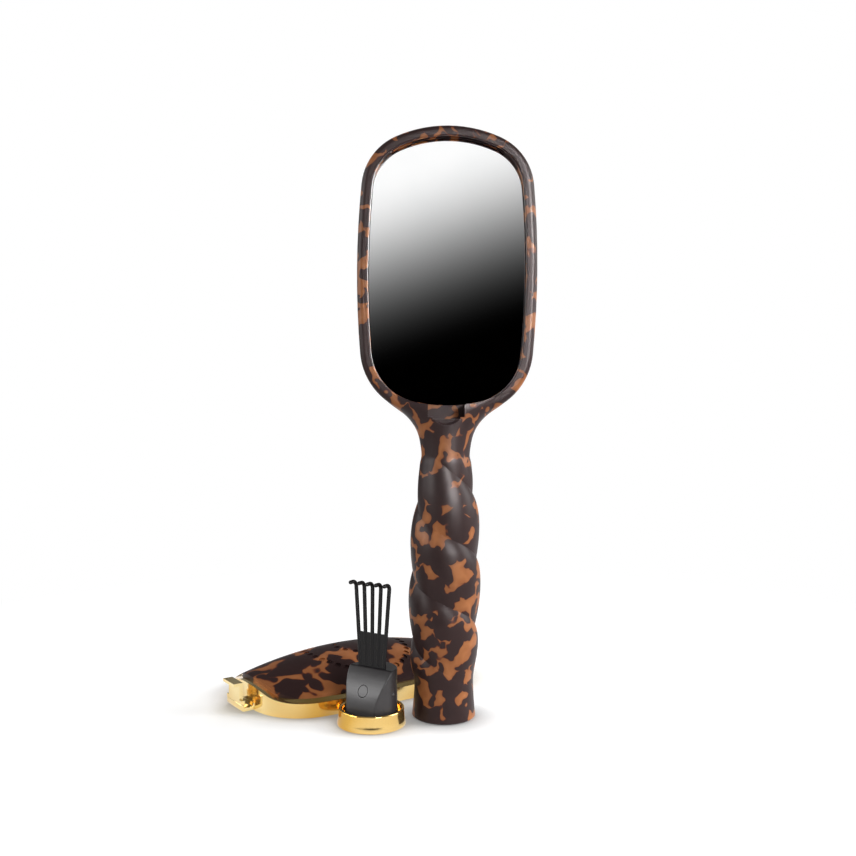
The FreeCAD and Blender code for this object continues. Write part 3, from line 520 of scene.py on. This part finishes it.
# %% [markdown]
# ## Plug and pin of the rake
# The rake stands in a moulded peg with a long slanted face. On the real peg that face is crowned from
# foot to top, so its shade changes along it, while the solid has it flat. A curved cut through a convex
# peg is a fan of flat cuts, each turned a few degrees: bisect, drop the outer side, fill the opening. A
# hole for the pin is taken out with a Boolean, and the pin goes through the same cuts as the peg, so its
# end lies flush in the face with a hair-thin gap around it.

# %% Define the cuts of the peg
TOOL_FOOT = (-0.0284, -0.01, 0)
TOOL_TURN = math.radians(-30.5)
PEG_LOW = 0.0016
PEG_TOP = 0.0218
PEG_RADIUS = 0.0102
PEG_TOP_RADIUS = 0.0099
PEG_SIDES = 96
PEG_EDGE = 0.0004
FACE_FOOT = Vector((0, -0.00795, 0.0064))
FACE_TOP = Vector((0, -0.0007, 0.0218))
FACE_CROWN = 0.0016
FACE_CUTS = 14
CUT_TOLERANCE = 1e-7
PIN_RADIUS = 0.0021
PIN_SIDES = 48
PIN_GAP = 0.00015
PIN_HEIGHT = 0.0139
PIN_END = -0.003
PIN_EDGE = 0.0001
NUB_RADIUS = 0.001
NUB_ROUNDS = 3
NUB_OUT = 0.0095
NUB_HEIGHT = 0.0127
CREASE = math.radians(10)
CREASE_STEPS = 3


def facing(angle):
    """The way to the front, tipped up by an angle."""
    return Vector((0, -math.cos(angle), math.sin(angle)))


def crown_cut(bm):
    """The slanted, crowned face, cut with a fan of planes."""
    chord = FACE_TOP - FACE_FOOT
    radius = chord.length**2 / (8 * FACE_CROWN) + FACE_CROWN / 2
    half = math.asin(chord.length / 2 / radius)
    lowest = math.atan2(chord.y, chord.z) - half
    centre = FACE_FOOT - radius * facing(lowest)
    for number in range(FACE_CUTS):
        way = facing(lowest + 2 * half * number / (FACE_CUTS - 1))
        everything = bm.verts[:] + bm.edges[:] + bm.faces[:]
        made = bmesh.ops.bisect_plane(
            bm,
            geom=everything,
            dist=CUT_TOLERANCE,
            plane_co=centre + radius * way,
            plane_no=way,
            clear_outer=True,
        )
        opening = [item for item in made["geom_cut"] if isinstance(item, bmesh.types.BMEdge)]
        if opening:
            bmesh.ops.edgeloop_fill(bm, edges=opening)


def softened_creases(bm, width):
    """Every edge sharper than the turn of a round side gets a small bevel."""
    bmesh.ops.recalc_face_normals(bm, faces=bm.faces)
    creases = [edge for edge in bm.edges if edge.calc_face_angle(0) > 2 * CREASE]
    bmesh.ops.bevel(
        bm, geom=creases, offset=width, segments=CREASE_STEPS, profile=0.5, affect="EDGES", material=-1
    )


def pin_rod(bm, radius):
    """A rod along Y where the pin goes through the peg."""
    length = PEG_RADIUS + PIN_END
    middle = Matrix.Translation((0, PIN_END - length / 2, PIN_HEIGHT))
    place = middle @ Matrix.Rotation(math.pi / 2, 4, "X")
    bmesh.ops.create_cone(
        bm, cap_ends=True, segments=PIN_SIDES, radius1=radius, radius2=radius, depth=length, matrix=place
    )


tool_place = Matrix.Translation(TOOL_FOOT) @ Matrix.Rotation(TOOL_TURN, 4, "Z")
print("tool stands at:", TOOL_FOOT)

# %% Cut the peg and drill it
bm = bmesh.new()
bmesh.ops.create_cone(
    bm,
    cap_ends=True,
    segments=PEG_SIDES,
    radius1=PEG_RADIUS,
    radius2=PEG_TOP_RADIUS,
    depth=PEG_TOP - PEG_LOW,
    matrix=Matrix.Translation((0, 0, (PEG_LOW + PEG_TOP) / 2)),
)
crown_cut(bm)
softened_creases(bm, PEG_EDGE)
blank = piece_from("peg_blank", bm, nylon_and_painted_light)
bm = bmesh.new()
pin_rod(bm, PIN_RADIUS + PIN_GAP)
drill = piece_from("pin_drill", bm, nylon_and_painted_light)
drilling = blank.modifiers.new("pin_hole", "BOOLEAN")
drilling.object = drill
drilling.operation = "DIFFERENCE"
drilled = bpy.data.meshes.new_from_object(blank.evaluated_get(bpy.context.evaluated_depsgraph_get()))
bpy.data.objects.remove(blank)
bpy.data.objects.remove(drill)
print("drilled peg faces:", len(drilled.polygons))

# %% Finish the peg and its pin
bm = bmesh.new()
bm.from_mesh(drilled)
for side in (-1, 1):
    spot = Matrix.Translation((side * NUB_OUT, 0, NUB_HEIGHT))
    bmesh.ops.create_icosphere(bm, subdivisions=NUB_ROUNDS, radius=NUB_RADIUS, matrix=spot)
bm.transform(tool_place)
peg = piece_from("rake_peg", bm, nylon_and_painted_light)
bm = bmesh.new()
pin_rod(bm, PIN_RADIUS)
crown_cut(bm)
softened_creases(bm, PIN_EDGE)
bm.transform(tool_place)
pin = piece_from("rake_peg_pin", bm, nylon_and_painted_light)
for piece, node in ((peg, "tool_plug"), (pin, "rake_pin")):
    piece.data.set_sharp_from_angle(angle=CREASE)
    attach(piece, "tool")
    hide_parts(node)
print("peg faces:", len(peg.data.polygons), "pin faces:", len(pin.data.polygons))

# %% [markdown]
# ## Cup of the rake
# The cup closes the handle's foot. Polished metal shows its shape only through what it mirrors, so its
# profile matters more than its colour: a foot that flares a little, a wall that leans in and a rolled
# lip. One outline, as (radius, height), spun round the axis gives all three.

# %% Spin the cup
CUP_OUTLINE = [
    (0.0, 0.0),
    (0.0132, 0.0),
    (0.01342, 0.0001),
    (0.0135, 0.00035),
    (0.01347, 0.0008),
    (0.0132, 0.002),
    (0.013, 0.0034),
    (0.01288, 0.0048),
    (0.01282, 0.0055),
    (0.01286, 0.00595),
    (0.0128, 0.00625),
    (0.01265, 0.0064),
    (0.0122, 0.0064),
    (0.0119, 0.00632),
    (0.01172, 0.00605),
    (0.0117, 0.0055),
    (0.0122, 0.0019),
    (0.012, 0.0016),
    (0.0, 0.0016),
]
CUP_STEPS = 128
CUP_WELD = 1e-6
CUP_CREASE = math.radians(50)

bm = bmesh.new()
corners = [bm.verts.new((radius, 0, height)) for radius, height in CUP_OUTLINE]
sides = [bm.edges.new(pair) for pair in zip(corners, corners[1:])]
bmesh.ops.spin(
    bm,
    geom=corners + sides,
    axis=(0, 0, 1),
    cent=(0, 0, 0),
    angle=2 * math.pi,
    steps=CUP_STEPS,
    use_merge=True,
)
bmesh.ops.remove_doubles(bm, verts=bm.verts, dist=CUP_WELD)
bm.transform(tool_place)
cup = piece_from("rake_cup", bm, gold)
cup.data.set_sharp_from_angle(angle=CUP_CREASE)
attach(cup, "tool")
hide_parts("tool_cup")
print("cup faces:", len(cup.data.polygons))

# %% [markdown]
# ## Rubber cushion
# The bristles stand in a domed rubber pad that gives when the brush is used. The CAD solid has the dome
# and the holes, with hard edges. A copy of it is rebuilt with small even faces and smoothed, so the rim
# rolls into the frame and the rubber dips into each hole, as a moulded pad does.

# %% Soften a copy of the cushion
PAD_FACE = 0.0007
PAD_WELD = 0.000005
PAD_SMOOTHING = 8
PAD_SOFTNESS = 0.5

bm = bmesh.new()
bm.from_mesh(nodes["bristle_cushion"].data)
bmesh.ops.remove_doubles(bm, verts=bm.verts, dist=PAD_WELD)
cushion = piece_from("bristle_pad", bm, rubber)
remesh = cushion.modifiers.new("even_faces", "REMESH")
remesh.mode = "VOXEL"
remesh.voxel_size = PAD_FACE
remesh.use_smooth_shade = True
soften = cushion.modifiers.new("soften", "SMOOTH")
soften.factor = PAD_SOFTNESS
soften.iterations = PAD_SMOOTHING
evaluated = cushion.evaluated_get(bpy.context.evaluated_depsgraph_get())
softened = bpy.data.meshes.new_from_object(evaluated)
cushion.modifiers.clear()
cushion.data = softened
softened.materials.clear()
softened.materials.append(rubber)
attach(cushion, "frame")
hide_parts("bristle_cushion")
print("cushion faces:", len(softened.polygons))

# %% [markdown]
# ## Boar bristles
# A real tuft is a few dozen hairs folded into one hole, close at the root and fanned out at the tip, each
# a little bowed and cut to almost the same length. Three tufts are modelled, hair by hair, and set in
# every place that the CAD rows give, each turned differently, so no two neighbours look alike.

# %% Model three tufts of hair
HAIRS = 36
HAIR_SIDES = 4
HAIR_CUTS = 2
HAIR_WIDTH = 0.00016
TUFT_ROOT_RADIUS = 0.0011
TUFT_TIP_RADIUS = 0.0019
UNEVEN_CUT = 0.0011
STRAY = 0.0003
BOW = 0.00035
GOLDEN_TURN = math.pi * (3 - math.sqrt(5))
TUFT_KINDS = 3


def add_hair(bm, root, tip, bow):
    """One tapered hair from root to tip, pushed sideways in the middle by bow."""
    span = tip - root
    upright = Matrix.Translation((root + tip) / 2) @ span.to_track_quat("Z", "Y").to_matrix().to_4x4()
    made = bmesh.ops.create_cone(
        bm,
        cap_ends=True,
        segments=HAIR_SIDES,
        radius1=HAIR_WIDTH,
        radius2=HAIR_WIDTH / 2,
        depth=span.length,
        matrix=upright,
    )
    long_edges = {e for v in made["verts"] for e in v.link_edges if e.calc_length() > span.length / 2}
    cuts = bmesh.ops.subdivide_edges(bm, edges=list(long_edges), cuts=HAIR_CUTS)
    middle = [item for item in cuts["geom_inner"] if isinstance(item, bmesh.types.BMVert)]
    bmesh.ops.translate(bm, verts=middle, vec=bow)


def tuft_mesh(kind):
    """A tuft whose hairs stand on a sunflower's spiral; kind sets how they stray."""
    rng = random.Random(kind)
    bm = bmesh.new()
    for number in range(HAIRS):
        reach = math.sqrt((number + 0.5) / HAIRS)
        turn = number * GOLDEN_TURN
        way = Vector((math.cos(turn), 0, math.sin(turn)))
        stray = Vector((rng.uniform(-STRAY, STRAY), 0, rng.uniform(-STRAY, STRAY)))
        root = way * reach * TUFT_ROOT_RADIUS + Vector((0, HAIR_ROOT, 0))
        height = HAIR_TIP - HAIR_WIDTH - rng.random() * UNEVEN_CUT
        tip = way * reach * TUFT_TIP_RADIUS + stray + Vector((0, height, 0))
        bow = Vector((rng.uniform(-BOW, BOW), 0, rng.uniform(-BOW, BOW)))
        add_hair(bm, root, tip, bow)
    mesh = bpy.data.meshes.new(f"tuft_{kind}")
    bm.to_mesh(mesh)
    bm.free()
    return mesh


tufts = [tuft_mesh(kind) for kind in range(TUFT_KINDS)]
print("faces in a tuft:", [len(mesh.polygons) for mesh in tufts])

# %% Set the tufts in their rows
TUFT_PITCH = 0.0084
CAD_TIP_RADIUS = 0.002
TURN_SEED = 11

rng = random.Random(TURN_SEED)
rows = sorted(name for name in nodes if name.startswith("bristle_row_"))
for row in rows:
    low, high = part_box(row)
    height = (low.z + high.z) / 2
    first = low.x + CAD_TIP_RADIUS
    count = round((high.x - low.x - 2 * CAD_TIP_RADIUS) / TUFT_PITCH) + 1
    bm = bmesh.new()
    for number in range(count):
        before = len(bm.verts)
        bm.from_mesh(rng.choice(tufts))
        bm.verts.ensure_lookup_table()
        spot = Vector((first + number * TUFT_PITCH, 0, height))
        place = Matrix.Translation(spot) @ Matrix.Rotation(rng.uniform(0, 2 * math.pi), 4, "Y")
        bmesh.ops.transform(bm, matrix=place, verts=bm.verts[before:])
    hairs = piece_from(row.replace("bristle_row", "hair_row"), bm, hair)
    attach(hairs, "frame")
    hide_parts(row)
print("rows of hair:", len(rows))

# %% [markdown]
# ## Floor
# The photo has a white sweep. A white floor alone turns grey under soft light, and more light would
# bleach the brush, so the paper has a little glow of its own that only the camera and shiny surfaces see.
# With distance it fades to plain white, and far off, in reflections only, to dark, which gives the gold its
# darker streaks. Close to the brush, shade is painted into the paper: for the camera, its colour and its
# glow are darkened as far as the brush hides the room from it, a painted contact shadow, as in the photo.

# %% Lay the floor
FLOOR_HALF = 4.0
FLOOR_DROP = 0.0002
FLOOR_GLOW = 0.33
PAPER_WHITE = 0.807
# How far from the brush, and how dark, the painted shade on the paper reaches
NOOK_REACH = 0.013
NOOK_FROM = 0.55
NOOK_TO = 0.98
NOOK_PAINTED_SHADE = 0.48


def looked_at(tree):
    """1 for rays from the camera or off a shiny or clear surface, 0 for the rays that carry light about."""
    rays = add(tree, "LightPath").outputs
    seen = maths(tree, "MAXIMUM", rays["Is Camera Ray"], rays["Is Glossy Ray"])
    return maths(tree, "MAXIMUM", seen, rays["Is Transmission Ray"])


def near_paper(tree):
    """Matt paper with its own glow, with shade painted into its colour and glow in the nooks round the
    brush, for camera rays.
    """
    # Painted shade: for camera rays, the paper darkens as far as the brush hides the room from it
    opening = add(tree, "AmbientOcclusion", {"Distance": NOOK_REACH}).outputs["AO"]
    shade = spread(tree, share_between(tree, opening, NOOK_FROM, NOOK_TO), NOOK_PAINTED_SHADE, 1.0)
    painted_nook_shade = blended(tree, add(tree, "LightPath").outputs["Is Camera Ray"], 1.0, shade)
    matt = add(tree, "BsdfDiffuse", {"Color": maths(tree, "MULTIPLY", painted_nook_shade, PAPER_WHITE)})
    glow = maths(tree, "MULTIPLY", looked_at(tree), FLOOR_GLOW)
    light = add(tree, "Emission", {"Strength": maths(tree, "MULTIPLY", glow, painted_nook_shade)})
    return add(tree, "AddShader", {0: matt.outputs[0], 1: light.outputs[0]}).outputs[0]


bm = bmesh.new()
bmesh.ops.create_grid(bm, x_segments=1, y_segments=1, size=FLOOR_HALF)
bmesh.ops.translate(bm, verts=bm.verts, vec=(0, 0, -FLOOR_DROP))
paper = bpy.data.materials.new("white_paper")
floor = piece_from("floor", bm, paper)
print("floor:", 2 * FLOOR_HALF, "m square")

# %% Colour the paper
WHITE_FROM = 0.12
WHITE_TO = 0.34
PAPER_MIDDLE = (-0.35, -0.2, 0.0)
PAPER_FROM = 0.58
PAPER_TO = 0.85
PAPER_DARK = 0.85


def distance(tree, shift=(0, 0, 0)):
    """How far a point of the floor lies from the origin, or from a shifted middle."""
    place = object_place(tree, shift)
    return add(tree, "VectorMath", {0: place}, operation="LENGTH").outputs["Value"]


tree = blank_tree(paper)
beyond = share_between(tree, distance(tree, PAPER_MIDDLE), PAPER_FROM, PAPER_TO)
shiny = add(tree, "LightPath").outputs["Is Glossy Ray"]
dark = maths(tree, "MULTIPLY", spread(tree, beyond, 0.0, PAPER_DARK), shiny)
white = add(tree, "Emission", {"Strength": maths(tree, "SUBTRACT", looked_at(tree), dark)}).outputs[0]
away = share_between(tree, distance(tree), WHITE_FROM, WHITE_TO)
sweep = add(tree, "MixShader", {0: away, 1: near_paper(tree), 2: white}).outputs[0]
add(tree, "OutputMaterial", {"Surface": sweep})
print("paper:", len(tree.nodes), "nodes")

# %% [markdown]
# ## Room
# Mirrors and metal need something to show. Real studios hang cards and cloths; here the world is painted
# for the rays that leave a shiny surface. In front of the mirror it goes from dark, low down, to white,
# at a slant, as in the photo. Elsewhere it is dim, with a white wall on the right that fades with height.
# The camera itself sees plain white, and the light that the world sheds on the brush is one even level.

# %% Paint the room
AMBIENT = 0.35
DARK_FROM = 0.037
DARK_TO = 0.273
DARK_LEAN = 0.37
DARK_CURVE = 2.3
FRONT_FROM = 0.75
FRONT_TO = 0.9
CEILING_FROM = 0.1
CEILING_TO = 0.45
WALL_FROM = -0.3
WALL_TO = 0.5
DIM = 0.12


def front_grade(tree, way, ahead):
    """From dark to white with the height of a ray that goes to the front, at a slant."""
    rise = maths(tree, "DIVIDE", way["Z"], ahead)
    side = maths(tree, "DIVIDE", way["X"], ahead)
    level = maths(tree, "SUBTRACT", rise, maths(tree, "MULTIPLY", side, DARK_LEAN))
    limits = {"Value": level, "From Min": DARK_FROM, "From Max": DARK_TO}
    grade = add(tree, "MapRange", limits, interpolation_type="SMOOTHSTEP").outputs["Result"]
    return maths(tree, "POWER", grade, DARK_CURVE)


def side_wall(tree, way):
    """A white wall on the right that fades with height, in a dim room."""
    wall = share_between(tree, way["X"], WALL_FROM, WALL_TO)
    low_down = share_between(tree, way["Z"], CEILING_TO, CEILING_FROM)
    return spread(tree, maths(tree, "MULTIPLY", low_down, wall), DIM, 1.0)


world = bpy.data.worlds.new("studio")
bpy.context.scene.world = world
tree = blank_tree(world)
shiny = add(tree, "LightPath").outputs["Is Glossy Ray"]
way = add(tree, "SeparateXYZ", {"Vector": add(tree, "TexCoord").outputs["Generated"]}).outputs
ahead = maths(tree, "MULTIPLY", way["Y"], -1.0)
to_front = maths(tree, "MULTIPLY", share_between(tree, ahead, FRONT_FROM, FRONT_TO), shiny)
around = blended(tree, shiny, 1.0, side_wall(tree, way))
shown = blended(tree, to_front, around, front_grade(tree, way, ahead))
strength = blended(tree, looked_at(tree), AMBIENT, shown)
background = add(tree, "Background", {"Color": WHITE, "Strength": strength})
add(tree, "OutputWorld", {"Surface": background.outputs[0]})
print("room:", len(tree.nodes), "nodes")

# %% [markdown]
# ## Lamps
# Soft square lamps light the brush from the front right and from both sides, and one from behind keeps
# the bristles from going black. A lamp lights a surface and also shines in it, and the two can be parted:
# two lamps give only the long sheen on the handle and the head, and the one behind stays out of the gold.

# %% Hang the lamps
# Each lamp's place, the height it is aimed at, its side, its spread in degrees and its power in watts
LAMPS = {
    "key_front": ((0.52, -1.05, 0.42), 0.1, 0.4, 180, 7.5),
    "rim_right": ((1.1, 0.05, 0.5), 0.1, 0.7, 180, 15.0),
    "rim_left": ((-1.1, 0.15, 0.5), 0.1, 0.7, 180, 6.0),
    "sheen_left": ((-0.9, -0.42, 0.4), 0.1, 0.45, 180, 7.0),
    "fill_back": ((0.1, 1.3, 0.45), 0.15, 0.8, 180, 4.0),
    "head_sheen": ((0.28, -0.5, 0.32), 0.165, 0.16, 15, 0.36),
}
ONLY_SHEEN = {"sheen_left", "head_sheen"}
NO_SHEEN = {"fill_back"}

for name, (place, aim_height, side, spread_angle, power) in LAMPS.items():
    lamp_data = bpy.data.lights.new(name, "AREA")
    lamp_data.size = side
    lamp_data.spread = math.radians(spread_angle)
    lamp_data.energy = power
    lamp = bpy.data.objects.new(name, lamp_data)
    lamp.location = place
    lamp.visible_diffuse = name not in ONLY_SHEEN
    lamp.visible_glossy = name not in NO_SHEEN
    aim = Vector((0, 0, aim_height)) - Vector(place)
    lamp.rotation_euler = aim.to_track_quat("-Z", "Y").to_euler()
    bpy.context.scene.collection.objects.link(lamp)
print("lamps:", list(LAMPS))
